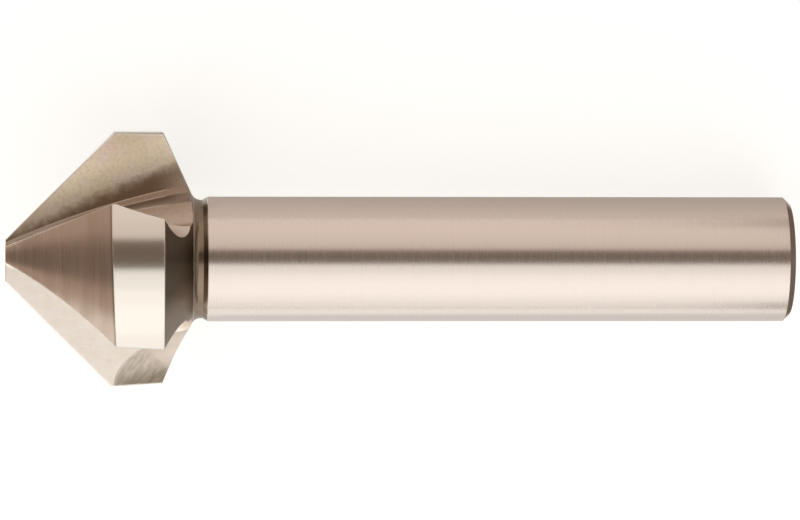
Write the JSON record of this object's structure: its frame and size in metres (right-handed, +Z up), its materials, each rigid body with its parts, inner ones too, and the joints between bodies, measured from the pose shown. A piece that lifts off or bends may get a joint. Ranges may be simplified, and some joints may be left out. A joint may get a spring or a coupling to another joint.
{
  "type": "countersink bit",
  "caption": "90 degree fluted countersink bit with a relieved cone, a short cylindrical land, a steep back cone and a plain round shank",
  "frame": {"origin": "middle of the underside of the box round the bit as it lies at rest", "axes": "+X from the cutting tip to the shank end, along the floor under the bit; +Z up; +Y completes a right-handed frame"},
  "size_m": [0.0632, 0.0204, 0.0197],
  "materials": {
    "ground_steel": "bright ground high-speed steel: fine rings turned and ground round the cone, land and shank, coarser wheel marks in the flutes"
  },
  "bodies": {
    "root": {"countersink_bit": "ground_steel"}
  },
  "joints": []
}
